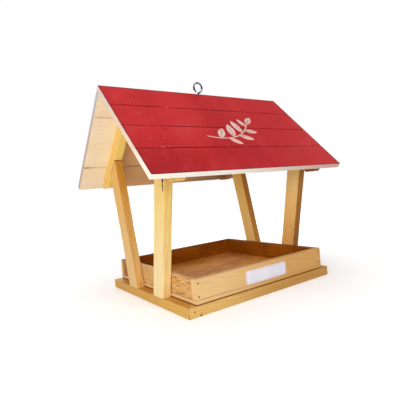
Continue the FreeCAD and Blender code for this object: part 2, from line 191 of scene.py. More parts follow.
def tinted(tree, amount, colour, tint):
    """A colour multiplied by a tint, as far as the amount says."""
    return mixed(tree, amount, colour, tint, "MULTIPLY")


def ramp(tree, amount, stops):
    """Grey levels along a ramp, from pairs of a place and a level."""
    node = step(tree, "ValToRGB", {"Fac": amount})
    elements = node.color_ramp.elements
    while len(elements) < len(stops):
        elements.new(0.5)
    for element, (place, level) in zip(elements, stops):
        element.position = place
        element.color = (level, level, level, 1)
    return node.outputs["Color"]


def object_place(tree):
    return step(tree, "TexCoord").outputs["Object"]


def split(tree, place):
    """A place's X, Y and Z."""
    return step(tree, "SeparateXYZ", {"Vector": place}).outputs


def facing(tree, way):
    """How squarely a face looks a way: 1 if straight, 0 if across and -1 if straight away."""
    return vector(tree, "DOT_PRODUCT", step(tree, "TexCoord").outputs["Normal"], way)


def out_sideways(tree, parts):
    """How far a point lies to the left or right of the middle."""
    return maths(tree, "ABSOLUTE", parts["X"])


def out_ahead(tree, parts):
    """How far a point lies before or behind the middle of the base and the tray."""
    return maths(tree, "ABSOLUTE", less(tree, parts["Y"], TABLE_MIDDLE))


RELIEF_DEPTH = 0.3 * MM


def coat(tree, colour, roughness, height, bump=0.3, sockets=None):
    """The surface itself, with its relief. The sockets are set to plain numbers."""
    inputs = {"Height": height, "Strength": bump, "Distance": RELIEF_DEPTH}
    relief = step(tree, "Bump", inputs).outputs["Normal"]
    inputs = {"Base Color": colour, "Roughness": roughness, "Normal": relief, **(sockets or {})}
    shader = step(tree, "BsdfPrincipled", inputs)
    step(tree, "OutputMaterial", {"Surface": shader.outputs["BSDF"]})


GLAZED = {"Specular IOR Level": 0.12}
STAINED = {"Specular IOR Level": 0.05}


# Wood

# How far from the heart of its log a piece was sawn, in millimetres, and how much it runs askew, in radians
HEART_AWAY = (24, 62)
ASKEW = 0.035

# The log's scale each way, which draws its figure out along it, and the fibres' further stretch
LOG_STRETCH = (5, 1, 1)
FIBRE_STRETCH = (0.16, 1, 1)

# How far the growth rings stray from true circles, broadly and finely
RING_WANDER = 13 * MM
RING_RIPPLE = 1.1 * MM

# How dark a growth ring is: pairs of a share of its width and a darkness, from the early wood to the late
RING_LEVELS = ((0.0, 0.10), (0.08, 0.0), (0.42, 0.12), (0.86, 1.0), (0.96, 0.85))


def log_of(node, along):
    """Where the heart of the log lay that a piece was sawn from, and how the log was turned."""
    low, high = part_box(node)
    middle = (low + high) / 2
    along = Vector(along).normalized()
    turn = Vector(SIDEWAYS).rotation_difference(along)
    round_log = chance.uniform(0, 2 * math.pi)
    away = chance.uniform(*HEART_AWAY) * MM
    heart = middle + turn @ Vector((0, math.cos(round_log), math.sin(round_log))) * away
    tilt = Matrix.Rotation(chance.uniform(-ASKEW, ASKEW), 3, "Y")
    sway = Matrix.Rotation(chance.uniform(-ASKEW, ASKEW), 3, "Z")
    turned = turn.to_matrix() @ tilt @ sway
    return {"heart": heart, "turn": turned.to_euler(), "along": along}


def grain(tree, place, log, ring):
    """The place inside the log, and the growth rings, fibres and cloudy patches, from 0 to 1."""
    inputs = {"Vector": place, "Location": log["heart"], "Rotation": log["turn"], "Scale": LOG_STRETCH}
    inside = step(tree, "Mapping", inputs, vector_type="TEXTURE").outputs["Vector"]
    across = vector(tree, "LENGTH", vector(tree, "MULTIPLY", inside, (0, 1, 1)))
    wander = scaled(tree, noise(tree, inside, 17), RING_WANDER, across)
    ripple = scaled(tree, noise(tree, inside, 95), RING_RIPPLE, wander)
    late = ramp(tree, maths(tree, "FRACT", maths(tree, "DIVIDE", ripple, ring)), RING_LEVELS)
    fibre = noise(tree, inside, 1300, 3.0, 0.6, FIBRE_STRETCH)
    patch = noise(tree, inside, 21, 3.0, 0.55)
    return inside, late, fibre, patch


def spots(tree, place, marks):
    """Knots, cracks, chips or stains, from a list of a place, a half size each way, and a strength."""
    wobble = noise(tree, place, 420)
    total = 0.0
    for middle, half_size, strength in marks:
        apart = vector(tree, "SUBTRACT", place, [number * MM for number in middle])
        shaped = vector(tree, "DIVIDE", apart, [number * MM for number in half_size])
        away = scaled(tree, wobble, 0.7, vector(tree, "LENGTH", shaped))
        total = either(tree, total, fall(tree, away, 0.9, 1.4, strength))
    return total


def wood(tree, place, node, along, look):
    """Pine for one piece, from its own log: colour, roughness and relief, and then its rings and fibres."""
    log = log_of(node, along)
    inside, late, fibre, patch = grain(tree, place, log, look["ring"])
    colour = mixed(tree, both(tree, late, look["contrast"]), look["early"], look["late"])
    colour = mixed(tree, rise(tree, patch, 0.35, 0.75, 0.0, 0.5), colour, look["warm"])
    dashes = rise(tree, noise(tree, inside, 560, stretch=FIBRE_STRETCH), 0.60, 0.70)
    colour = mixed(tree, both(tree, dashes, look["flecks"]), colour, look["late"])
    streak = rise(tree, fibre, 0.28, 0.72, 0.93, 1.04)
    grey = step(tree, "CombineColor", {0: streak, 1: streak, 2: streak}).outputs[0]
    colour = tinted(tree, 1.0, colour, grey)
    ends = rise(tree, maths(tree, "ABSOLUTE", facing(tree, log["along"])), 0.8, 0.95)
    colour = mixed(tree, both(tree, ends, look["end_share"]), colour, look["ends"])
    rough = scaled(tree, fibre, 0.16, look["rough"])
    height = scaled(tree, fibre, 0.7, both(tree, late, 0.3))
    return colour, rough, height, late, fibre


# Looks of the wood

WHITE = tone(255, 255, 255)


def wood_tones(early, late, warm):
    """The tones of early wood, late wood and warm patches, for a look."""
    return {"early": tone(*early), "late": tone(*late), "warm": tone(*warm)}


# A look holds tones (of the wood and its cut ends), painted shade tints (a front face low down and near the
# head, a foot, a head), how much the cut ends, rings and flecks show, a ring's width, and a roughness
HONEY = {
    **wood_tones((251, 227, 174), (221, 171, 104), (242, 206, 136)),
    "ends": tone(240, 200, 136),
    "end_share": 0.5,
    "front": tone(250, 243, 222),
    "front_head": tone(250, 243, 222),
    "foot": WHITE,
    "head": tone(244, 238, 198),
    "contrast": 0.30,
    "flecks": 0.35,
    "ring": 2.4 * MM,
    "rough": 0.45,
}
AMBER = {
    **HONEY,
    **wood_tones((255, 228, 154), (244, 180, 100), (255, 212, 132)),
    "ends": tone(232, 178, 108),
    "front": tone(168, 134, 92),
    "front_head": tone(176, 140, 98),
    "foot": tone(235, 208, 178),
    "head": WHITE,
}
DEEP_AMBER = {
    **AMBER,
    **wood_tones((255, 224, 146), (234, 168, 88), (255, 206, 120)),
    "front": tone(200, 166, 122),
    "front_head": tone(200, 166, 122),
    "foot": WHITE,
    "head": tone(250, 238, 206),
}
MIDDLING = {
    **HONEY,
    **wood_tones((244, 210, 146), (210, 156, 84), (232, 188, 112)),
    "front": tone(250, 241, 214),
    "front_head": tone(230, 208, 148),
    "foot": tone(245, 239, 238),
    "head": tone(246, 226, 190),
}
RAFTER = {
    **HONEY,
    **wood_tones((255, 223, 128), (234, 172, 74), (250, 200, 98)),
    "front": WHITE,
    "front_head": WHITE,
    "head": WHITE,
    "flecks": 0.15,
}
SHADED = {
    **RAFTER,
    **wood_tones((176, 124, 74), (132, 84, 44), (156, 104, 58)),
    "ends": tone(120, 80, 50),
}
BASE = {
    **HONEY,
    **wood_tones((223, 176, 92), (186, 124, 50), (208, 152, 69)),
    "ends": tone(230, 188, 120),
    "flecks": 0.2,
}
BASE_FACE = {
    **BASE,
    **wood_tones((236, 194, 118), (200, 142, 70), (222, 170, 90)),
}
TRAY = {
    **HONEY,
    **wood_tones((229, 183, 116), (192, 130, 66), (217, 164, 96)),
    "ends": tone(234, 192, 132),
    "contrast": 0.26,
    "flecks": 0.15,
    "ring": 1.7 * MM,
    "rough": 0.5,
}
TRAY_FRONT = {
    **TRAY,
    **wood_tones((238, 200, 142), (208, 152, 92), (228, 182, 120)),
    "contrast": 0.18,
}
BARE = {
    **HONEY,
    **wood_tones((252, 237, 206), (232, 196, 150), (246, 218, 180)),
    "ends": tone(204, 180, 166),
    "low_ends": tone(206, 178, 162),
    "ridge_ends": tone(195, 192, 192),
    "end_share": 0.95,
    "contrast": 0.10,
    "flecks": 0.1,
    "rough": 0.6,
}
# Front boards: BARE with painted shade, darker and more orange under the roof, and cut edges of their own
# tones
SHADED_BARE = {
    **BARE,
    "ends": tone(232, 204, 181),
    "low_ends": tone(250, 234, 215),
    "ridge_ends": tone(226, 207, 196),
    **wood_tones((234, 174, 118), (202, 136, 82), (224, 160, 102)),
}


# Posts and rafters

POST_LOOKS = {"front_left": HONEY, "front_right": AMBER, "back_right": DEEP_AMBER, "back_left": MIDDLING}

# Knots, cracks and notches that the photo shows, and a dark spot where the back left rafter meets the boards:
# a place and a half size in millimetres, and a strength
MARKS = {
    "rafter_back_left": (((-125.6, 39.0, 242.5), (1.5, 2.6, 2.6), 0.8),),
    "post_front_left": (
        ((-139, -91.4, 177), (2, 3.0, 6), 1.0),
        ((-139, -90.4, 168), (2, 1.9, 8), 1.0),
        ((-134, -73, 112), (1.5, 4, 1.5), 0.6),
    ),
    "post_front_right": [
        ((125.5, y, z), (2, 1.0, half), strength)
        for y, z, half, strength in (
            (-82.5, 97, 4, 0.35),
            (-79.5, 91, 4.5, 0.5),
            (-75.0, 84, 4, 0.45),
            (-68.0, 80, 4, 0.4),
            (-72.5, 75, 5, 0.5),
            (-67.5, 68, 4, 0.45),
            (-70.5, 61, 4.5, 0.45),
            (-66.5, 54, 4, 0.4),
        )
    ],
}

# Where a post's painted shade starts to change from the foot's tint, where its front face's does, and where
# both are the head's
FOOT_HEIGHT = 30 * MM
TURN_HEIGHT = 130 * MM
HEAD_HEIGHT = 190 * MM


def painted_face_shade(tree, place, colour, look):
    """Painted shade: a piece's front face darker than its sides, and its tint changing from its foot to its
    head.
    """
    height = split(tree, place)["Z"]
    front = mixed(tree, rise(tree, height, TURN_HEIGHT, HEAD_HEIGHT), look["front"], look["front_head"])
    colour = tinted(tree, rise(tree, facing(tree, FORWARD), 0.4, 0.8), colour, front)
    level = mixed(tree, rise(tree, height, FOOT_HEIGHT, HEAD_HEIGHT), look["foot"], look["head"])
    return tinted(tree, 1.0, colour, level)


def painted_side_shade(tree, colour):
    """Painted shade: a rafter's side faces are tinted to a darker gold than its underside."""
    side = maths(tree, "ABSOLUTE", facing(tree, SIDEWAYS))
    return tinted(tree, rise(tree, side, 0.6, 0.8), colour, tone(236, 226, 226))


def head_joint_and_shadow(tree, place):
    """The dark line where a post's head meets the rafter above it: the joint, and painted shadow under the
    rafter.
    """
    below = less(tree, roof_depth(tree, split(tree, place)), POST_HEAD_DEPTH)
    return fall(tree, maths(tree, "ABSOLUTE", below), 0.9 * MM, 2.0 * MM, 0.85)


def pine(node, along, look):
    """Glazed pine for one piece, with its own log and its own knots."""
    finish, tree = new_finish(f"pine_{node}")
    place = object_place(tree)
    colour, rough, height, _, _ = wood(tree, place, node, along, look)
    colour = painted_face_shade(tree, place, colour, look)
    if node.startswith("rafter"):
        colour = painted_side_shade(tree, colour)
    if node.startswith("post"):
        colour = mixed(tree, head_joint_and_shadow(tree, place), colour, tone(112, 62, 20))
    pores = rise(tree, noise(tree, place, 360, 2.0, 0.6), 0.66, 0.71, 0.0, 0.45)
    colour = mixed(tree, pores, colour, tone(132, 78, 30))
    if node in MARKS:
        dark = spots(tree, place, MARKS[node])
        colour = mixed(tree, dark, colour, tone(78, 36, 8))
        height = less(tree, height, dark)
    coat(tree, colour, rough, height, sockets=GLAZED)
    return finish


# The base

# The dent in the front left corner, as in the table of marks
BASE_DENTS = (((-120.4, -127.5, 1.0), (1.7, 2, 2.9), 1.0),)

# From where to where, left to right, the base's wood darkens with painted shade towards its right end
BASE_SHADE_SPAN = (-125 * MM, 40 * MM)


def mitre_lines(tree, place, parts):
    """Dark lines where two rails of the base meet at 45 degrees."""
    side_inset = less(tree, BASE_END, out_sideways(tree, parts))
    front_inset = less(tree, BASE_FRONT, out_ahead(tree, parts))
    apart = maths(tree, "ABSOLUTE", less(tree, side_inset, front_inset))
    ragged = scaled(tree, noise(tree, place, 130), 0.9 * MM, apart)
    return fall(tree, ragged, 0.6 * MM, 1.2 * MM, 0.85)


def beyond_tray(tree, parts, inset=0.0):
    """How far a point lies outside the tray's outline, or outside one drawn in by an inset."""
    beside = less(tree, out_sideways(tree, parts), TRAY_SIDE - inset)
    before = less(tree, out_ahead(tree, parts), TRAY_FRONT_OUT - inset)
    return either(tree, beside, before)


def base_wood(node, along, look, right_shade):
    """Base pine, in painted shade towards its right end and along the tray's edge, with dark glue lines."""
    finish, tree = new_finish(f"pine_{node}")
    place = object_place(tree)
    parts = split(tree, place)
    colour, rough, height, _, _ = wood(tree, place, node, along, look)
    # Painted shade, deepening towards the right end
    colour = tinted(tree, rise(tree, parts["X"], *BASE_SHADE_SPAN), colour, right_shade)
    top = rise(tree, facing(tree, UP), 0.6, 0.9)
    # The top faces darker and more golden in cloudy patches
    top_clouds = rise(tree, noise(tree, place, 24, 3.0), 0.35, 0.65, 0.3, 0.8)
    colour = tinted(tree, both(tree, top_clouds, top), colour, tone(226, 191, 98))
    # Painted shadow on the top faces, in a band along the tray's edge
    painted_tray_shadow = both(tree, top, fall(tree, beyond_tray(tree, parts), 1.2 * MM, 2.4 * MM, 0.75))
    dark = either(tree, mitre_lines(tree, place, parts), spots(tree, place, BASE_DENTS))
    colour = mixed(tree, either(tree, dark, painted_tray_shadow), colour, tone(96, 50, 14))
    coat(tree, colour, rough, less(tree, height, dark), sockets=GLAZED)
    return finish


# The tray

# Rusty rings round the nails in the tray's front, as in the table of marks
NAIL_STAINS = [((x, -125.5, z), (1.6, 1.6, 1.6), 0.75) for x in (-120.2, 120.2) for z in (24.4, 42)]

# The seam between floor and walls, at its lowest, and the tray's bottom edge, darkened by painted shadow
SEAM_HEIGHT = 19.2 * MM
SHADOWED_BOTTOM_SPAN = (14.9 * MM, 15.6 * MM)

# From where to where painted shade deepens the wood and the seam fades, left to right, and the side walls'
# streaks fade and painted shade darkens their wood, front to back
TRAY_SHADE_SPAN = (-112 * MM, 75 * MM)
SEAM_SPAN = (-120 * MM, 60 * MM)
STREAK_SPAN = (-110 * MM, 50 * MM)
BACK_SHADE_SPAN = (40 * MM, 104 * MM)


def inside_tray(tree, parts):
    """1 on the tray's inner faces, with a thin skin of the walls and the floor, and 0 outside."""
    floor_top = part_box("tray_floor")[1].z
    skin = 0.2 * MM
    edge = 0.3 * MM
    side = TRAY_SIDE - TRAY_WALL + skin
    ahead = TRAY_FRONT_OUT - TRAY_WALL + skin
    within = both(
        tree,
        fall(tree, out_sideways(tree, parts), side, side + edge),
        fall(tree, out_ahead(tree, parts), ahead, ahead + edge),
    )
    return both(tree, within, rise(tree, parts["Z"], floor_top - 2 * skin, floor_top - skin))


def saw_streaks(tree, place, parts):
    """Short dark streaks along a side wall, most of them near the front corner."""
    marks = rise(tree, noise(tree, place, 720, 3.0, 0.6, (1, 0.08, 1)), 0.51, 0.60)
    return both(tree, marks, rise(tree, parts["Y"], *STREAK_SPAN, 0.75, 0.35))


def painted_shade_in_tray(tree, place, colour):
    """The inner faces in painted shade under the roof: darkest on the walls, lighter on the floor, clouded
    and streaked.
    """
    bottom = rise(tree, facing(tree, UP), 0.6, 0.9)
    cloud = noise(tree, place, 30, 3.0, 0.6, (0.5, 1, 1))
    streak = noise(tree, place, 300, 3.0, 0.6, (0.10, 1, 1.4))
    stain = scaled(tree, streak, 0.6, both(tree, cloud, 0.6))
    clear = rise(tree, stain, 0.50, 0.72)
    walls = mixed(tree, clear, tone(156, 104, 16), tone(184, 136, 24))
    panel = mixed(tree, clear, tone(206, 164, 108), tone(246, 208, 142))
    return tinted(tree, 1.0, colour, mixed(tree, bottom, walls, panel))


def rim_tones(tree, place, parts, colour, rim):
    """The walls' top edges: browned as much as rim says, with a ragged dark line along the inside."""
    height = rise(tree, parts["Z"], tray_high.z - 1.0 * MM, tray_high.z - 0.3 * MM)
    colour = tinted(tree, both(tree, height, rim), colour, tone(150, 92, 46))
    inset = beyond_tray(tree, parts, TRAY_WALL)
    ragged = scaled(tree, noise(tree, place, 90, 3.0, 0.6), -5.5 * MM, inset)
    line = both(tree, height, fall(tree, ragged, -1.6 * MM, -0.6 * MM, 0.75))
    return mixed(tree, line, colour, tone(104, 54, 18))


def seams_and_bottom_shadow(tree, place, parts):
    """Dark lines outside: the wandering seam over the floor's edge, and painted shadow along the bottom edge.
    """
    wander = noise(tree, place, 60, stretch=(0.3, 0.3, 1))
    seam_height = scaled(tree, wander, 1.6 * MM, SEAM_HEIGHT)
    away = maths(tree, "ABSOLUTE", less(tree, parts["Z"], seam_height))
    fading = rise(tree, parts["X"], *SEAM_SPAN, 0.6, 0.2)
    seam = both(tree, fall(tree, away, 0.2 * MM, 0.7 * MM), fading)
    # Painted shadow along the bottom edge
    return either(tree, seam, fall(tree, parts["Z"], *SHADOWED_BOTTOM_SPAN, 0.8))


def sawn_and_shaded_tones(tree, place, parts, colour, height, outer):
    """A side wall's outside: streaks from the saw, and painted shade darkening the wood towards the back."""
    marks = both(tree, saw_streaks(tree, place, parts), outer)
    colour = mixed(tree, marks, colour, tone(134, 78, 30))
    # Painted shade, darkening the wood towards the back
    behind = both(tree, rise(tree, parts["Y"], *BACK_SHADE_SPAN, 0.0, 0.85), outer)
    return tinted(tree, behind, colour, tone(170, 126, 88)), less(tree, height, marks)


def tray_wood(name, node, along, look, rim, sawn=False, stains=()):
    """Tray pine, darkened inside the tray with painted shade, and browned on its rim."""
    finish, tree = new_finish(name)
    place = object_place(tree)
    parts = split(tree, place)
    colour, rough, height, _, _ = wood(tree, place, node, along, look)
    inside = inside_tray(tree, parts)
    outer = less(tree, 1.0, inside)
    # Painted shade on the outer faces, deepening towards the right
    rightward_shade = both(tree, rise(tree, parts["X"], *TRAY_SHADE_SPAN), outer)
    colour = tinted(tree, rightward_shade, colour, tone(237, 217, 186))
    # The side walls take saw streaks and painted shade towards the back
    if sawn:
        colour, height = sawn_and_shaded_tones(tree, place, parts, colour, height, outer)
    # Painted shade on the inner faces
    colour = mixed(tree, inside, colour, painted_shade_in_tray(tree, place, colour))
    colour = rim_tones(tree, place, parts, colour, rim)
    colour = mixed(tree, both(tree, seams_and_bottom_shadow(tree, place, parts), outer), colour, tone(136, 74, 28))
    if stains:
        colour = mixed(tree, spots(tree, place, stains), colour, tone(92, 50, 22))
    coat(tree, colour, rough, height, sockets=GLAZED)
    return finish


# The roof

# Places on the front slope where the stain is chipped or scuffed, as in the table of marks
CHIPS = (
    ((-88, -34.3, 286.7), (2.6, 1.4, 1.4), 0.6),
    ((-151, -90.6, 230.4), (1.7, 1.4, 1.4), 0.4),
    ((-140, -102.6, 218.4), (4.5, 1.0, 1.0), 0.6),
    ((-130, -102.1, 218.9), (3.0, 1.0, 1.0), 0.5),
    ((-84, -4.5, 316.5), (2.2, 1.4, 1.4), 0.35),
    ((-142, -48.4, 272.6), (7.0, 1.3, 1.3), 0.25),
    ((-129, -60.0, 261.0), (6.0, 1.3, 1.3), 0.2),
)

# How much painted shade deepens the red on each board of a slope, from the ridge down
BOARD_SHADES = {1: 0.0, 2: 0.06, 3: 0.08, 4: 0.24}

# From where to where the roof's tones change. Left to right: the stain's painted shade at its left end and
# painted light at its right, the fading of its joint lines, painted shade on the underside, and the pinkish
# edges
SHADE_LEFT = (-170 * MM, -50 * MM)
LIT_RIGHT = (0, 140 * MM)
LINES_FADE = (-20 * MM, 110 * MM)
SHADE_RIGHT_SPAN = (-80 * MM, 140 * MM)
PINK_RIGHT = (-90 * MM, 160 * MM)

# Out from the middle: painted shade on the wood between the rafters. In height: the cut edges' three tones
RAFTER_SPAN = (124 * MM, 126 * MM)
LOW_EDGE_SPAN = (192 * MM, 228 * MM)
HIGH_EDGE_SPAN = (245 * MM, 310 * MM)

# Down the slope: painted shade on the stain's low part, and the gaps below, which start, are faint, bold, and
# end
SHADE_LOW = (90 * MM, 190 * MM)
GAPS_START = (20 * MM, 21 * MM)
GAPS_FAINT = (60 * MM, 75 * MM)
GAPS_BOLD = (110 * MM, 135 * MM)
GAPS_END = (170 * MM, 171 * MM)


def from_ridge(tree, parts, operation):
    """How far below the ridge a point lies and how far out from it, added or subtracted at 45 degrees."""
    down = less(tree, RIDGE_HEIGHT, parts["Z"])
    out = maths(tree, "ABSOLUTE", parts["Y"])
    return maths(tree, "MULTIPLY", maths(tree, operation, down, out), DIAGONAL)


def roof_depth(tree, parts):
    """How far below the roof's outer face a point lies."""
    return from_ridge(tree, parts, "SUBTRACT")


def slope_way(tree, parts):
    """How far down its slope a point lies, from the ridge."""
    return from_ridge(tree, parts, "ADD")


def board_share(tree, parts):
    """How far across its board a point lies, from 0 at the upper joint to 1 at the lower."""
    return maths(tree, "FRACT", maths(tree, "DIVIDE", slope_way(tree, parts), BOARD_WIDTH))


def from_joint(tree, parts):
    """How far from the nearest joint between two boards a point lies, down the slope."""
    share = board_share(tree, parts)
    nearer = maths(tree, "MINIMUM", share, less(tree, 1.0, share))
    return maths(tree, "MULTIPLY", nearer, BOARD_WIDTH)


def near_roof_nail(tree, parts, reach):
    """1 at a roof nail and 0 beyond its reach. The nails stand in the middle of each board."""
    aside = less(tree, out_sideways(tree, parts), ROOF_NAIL_OUT)
    down = maths(tree, "MULTIPLY", less(tree, board_share(tree, parts), 0.5), BOARD_WIDTH)
    squares = maths(tree, "ADD", maths(tree, "POWER", aside, 2), maths(tree, "POWER", down, 2))
    return fall(tree, maths(tree, "SQRT", squares), reach * 0.45, reach)


def painted_sheen_bands(tree, place):
    """Painted reflection: broad soft pale bands that cross the boards at a slant."""
    slant = step(tree, "Mapping", {"Vector": place, "Rotation": (0, 0.6, 0.5)}).outputs["Vector"]
    return rise(tree, noise(tree, slant, 14, stretch=(0.5, 1, 1.6)), 0.48, 0.72, 0.0, 0.30)


def stain_tones(tree, place, parts, late, fibre, shade_deepening):
    """The stain's reds: clouded and specked, in painted shade low down at the left, with painted light at the
    right and painted sheen bands.
    """
    cloud = noise(tree, place, 11, 3.0, stretch=(1, 0.5, 0.5))
    red = mixed(tree, rise(tree, cloud, 0.35, 0.65), tone(188, 36, 41), tone(206, 47, 50))
    # Painted shade: darker on the lower boards, and more so low down at the left
    leftward = fall(tree, parts["X"], *SHADE_LEFT, 0.5)
    lowly = rise(tree, slope_way(tree, parts), *SHADE_LOW)
    shade_share = scaled(tree, leftward, lowly, shade_deepening)
    red = mixed(tree, shade_share, red, tone(150, 28, 34))
    # Painted light: the red brighter towards the right
    red = mixed(tree, rise(tree, parts["X"], *LIT_RIGHT, 0.0, 0.28), red, tone(226, 46, 48))
    # Painted reflection in broad pale bands
    red = mixed(tree, painted_sheen_bands(tree, place), red, tone(212, 74, 76))
    red = mixed(tree, both(tree, late, 0.07), red, tone(150, 26, 36))
    red = mixed(tree, rise(tree, fibre, 0.5, 0.8, 0.0, 0.10), red, tone(222, 84, 84))
    specks = rise(tree, noise(tree, place, 190), 0.71, 0.76, 0.0, 0.35)
    return mixed(tree, specks, red, tone(222, 112, 106))


def joint_tones(tree, place, parts, red):
    """Dark broken lines in the joints, fading to the right, and pale chips along their lips."""
    joint = from_joint(tree, parts)
    ragged = scaled(tree, noise(tree, place, 60, 3.0), -0.5 * MM, joint)
    lines = fall(tree, ragged, 0.5 * MM, 1.0 * MM)
    broken = rise(tree, noise(tree, place, 34, 3.0, stretch=(1, 3, 3)), 0.36, 0.52, 0.35, 0.95)
    fading = rise(tree, parts["X"], *LINES_FADE, 1.0, 0.55)
    red = mixed(tree, both(tree, lines, both(tree, broken, fading)), red, tone(92, 16, 20))
    chips = rise(tree, noise(tree, place, 150, 3.0, 0.6, (0.6, 1, 1)), 0.64, 0.70)
    lip = fall(tree, joint, 1.3 * MM, 1.8 * MM, 0.7)
    return mixed(tree, both(tree, lip, chips), red, tone(218, 104, 98))


def red_stain(tree, place, parts, late, fibre, shade_deepening):
    """Red stain, darker in the joints, along its edges and round the nails, with a few pale chips."""
    red = stain_tones(tree, place, parts, late, fibre, shade_deepening)
    red = joint_tones(tree, place, parts, red)
    red = mixed(tree, spots(tree, place, CHIPS), red, tone(224, 120, 112))
    gable = less(tree, ROOF_END, out_sideways(tree, parts))
    edge = maths(tree, "MINIMUM", gable, slope_way(tree, parts))
    red = mixed(tree, fall(tree, edge, 0.8 * MM, 2.3 * MM, 0.85), red, tone(92, 24, 30))
    return mixed(tree, near_roof_nail(tree, parts, 2.0 * MM), red, tone(112, 16, 22))


def board_gaps(tree, place, parts):
    """Broken brown lines on the underside where two boards meet, the boldest near the eave."""
    way = slope_way(tree, parts)
    bold = either(tree, rise(tree, way, *GAPS_BOLD), rise(tree, way, *GAPS_FAINT, 0.55, 0.2))
    near = scaled(tree, bold, -0.9 * MM, from_joint(tree, parts))
    gap = scaled(tree, noise(tree, place, 45, 3.0), -1.0 * MM, near)
    dashes = noise(tree, place, 85, 3.0, 0.6, (1, 0.2, 0.2))
    bold = both(tree, bold, rise(tree, dashes, 0.42, 0.55, 0.45, 1.0))
    line = both(tree, fall(tree, gap, -0.2 * MM, 0.5 * MM), bold)
    return both(tree, line, both(tree, rise(tree, way, *GAPS_START), fall(tree, way, *GAPS_END)))


def underside(tree, place, parts, colour, outward):
    """The bare underside: brown gaps, with painted shade between the rafters and towards the right."""
    below = fall(tree, facing(tree, outward), -0.9, -0.7)
    colour = mixed(tree, both(tree, board_gaps(tree, place, parts), below), colour, tone(134, 76, 34))
    # Painted shade on the underside between the rafters
    within = both(tree, fall(tree, out_sideways(tree, parts), *RAFTER_SPAN), below)
    colour = tinted(tree, within, colour, tone(242, 212, 180))
    # Painted shade on the underside, deepening towards the right
    shade_rightward = both(tree, rise(tree, parts["X"], *SHADE_RIGHT_SPAN), below)
    return tinted(tree, shade_rightward, colour, tone(186, 176, 176))


def edge_light_and_shade(tree, parts, look, low):
    """The cut edges in painted light and shade: three tones from the eave up, and darker and pinkish towards
    the right.
    """
    limed = mixed(tree, rise(tree, parts["Z"], *LOW_EDGE_SPAN), low, look["ends"])
    limed = mixed(tree, rise(tree, parts["Z"], *HIGH_EDGE_SPAN), limed, look["ridge_ends"])
    return mixed(tree, rise(tree, parts["X"], *PINK_RIGHT), limed, tone(226, 190, 178))


def cut_edges(tree, parts, colour, look):
    """Pale wood on the gables' edges and on the eave's, in painted light and shade."""
    gable = rise(tree, out_sideways(tree, parts), ROOF_END - 0.3 * MM, ROOF_END - 0.1 * MM)
    colour = mixed(tree, gable, colour, edge_light_and_shade(tree, parts, look, look["low_ends"]))
    eave = rise(tree, slope_way(tree, parts), SLOPE_LENGTH - 0.3 * MM, SLOPE_LENGTH - 0.1 * MM)
    return mixed(tree, eave, colour, edge_light_and_shade(tree, parts, look, tone(255, 252, 240)))


def stained_share(tree, place, parts):
    """1 where red stain lies: on the weather face, just over its edges, and in the nails' wells."""
    deep = roof_depth(tree, parts)
    outward = either(tree, facing(tree, FRONT_SLOPE), facing(tree, BACK_SLOPE))
    weather = both(tree, rise(tree, outward, 0.50, 0.60), fall(tree, deep, 1.2 * MM, 1.5 * MM))
    run = scaled(tree, noise(tree, place, 160, 3.0), 0.7 * MM, -0.05 * MM)
    bleed = fall(tree, less(tree, deep, run), -0.1 * MM, 0.1 * MM, 0.8)
    sunk = both(tree, near_roof_nail(tree, parts, 1.6 * MM), fall(tree, deep, 2 * MM, 3 * MM))
    return either(tree, either(tree, weather, bleed), sunk)


def painted_board(name, node, look, shade_deepening):
    """A roof board: red stain on its weather face, bare pine below, and pale cut edges in painted light and
    shade.
    """
    finish, tree = new_finish(name)
    place = object_place(tree)
    parts = split(tree, place)
    colour, rough, height, late, fibre = wood(tree, place, node, SIDEWAYS, look)
    colour = cut_edges(tree, parts, colour, look)
    colour = underside(tree, place, parts, colour, FRONT_SLOPE if "front" in node else BACK_SLOPE)
    paint = stained_share(tree, place, parts)
    colour = mixed(tree, paint, colour, red_stain(tree, place, parts, late, fibre, shade_deepening))
    sheen = scaled(tree, fibre, 0.14, 0.46)
    rough = scaled(tree, paint, less(tree, sheen, rough), rough)
    coat(tree, colour, rough, height, bump=0.2, sockets=STAINED)
    return finish


def engraved_wood():
    """Pale wood laid bare where the ornament is cut through the red stain."""
    finish, tree = new_finish("engraved_wood")
    place = object_place(tree)
    fibre = noise(tree, place, 1400, 3.0, 0.6, (0.06, 1, 1))
    cloud = noise(tree, place, 70, 3.0)
    colour = mixed(tree, rise(tree, fibre, 0.3, 0.7), tone(222, 190, 182), tone(240, 216, 206))
    colour = mixed(tree, rise(tree, cloud, 0.45, 0.75, 0.0, 0.5), colour, tone(214, 168, 164))
    coat(tree, colour, scaled(tree, fibre, 0.1, 0.6), fibre, bump=0.4, sockets=STAINED)
    return finish


# Metal and the label

# Dark places on the screw eye, as in the table of marks: its left and right sides, its top and its neck
EYE_DARK_PLACES = (
    ((-11.0, 0, 330), (3.6, 3, 4.8), 1.0),
    ((5.0, 0, 333), (3.6, 3, 4.4), 1.0),
    ((-4, 0, 340.4), (6, 3, 2.6), 0.6),
    ((-3, 0, 321.6), (4, 3, 4), 1.0),
)


def zinc_steel():
    """Zinc on the screw eye, clouded and with dark places."""
    finish, tree = new_finish("zinc_steel")
    place = object_place(tree)
    cloud = noise(tree, place, 300, 3.0)
    colour = mixed(tree, rise(tree, cloud, 0.35, 0.65), tone(158, 158, 170), tone(96, 96, 106))
    colour = mixed(tree, spots(tree, place, EYE_DARK_PLACES), colour, tone(34, 30, 36))
    rough = rise(tree, cloud, 0.3, 0.8, 0.2, 0.4)
    coat(tree, colour, rough, noise(tree, place, 1900), bump=0.08, sockets={"Metallic": 1.0})
    return finish


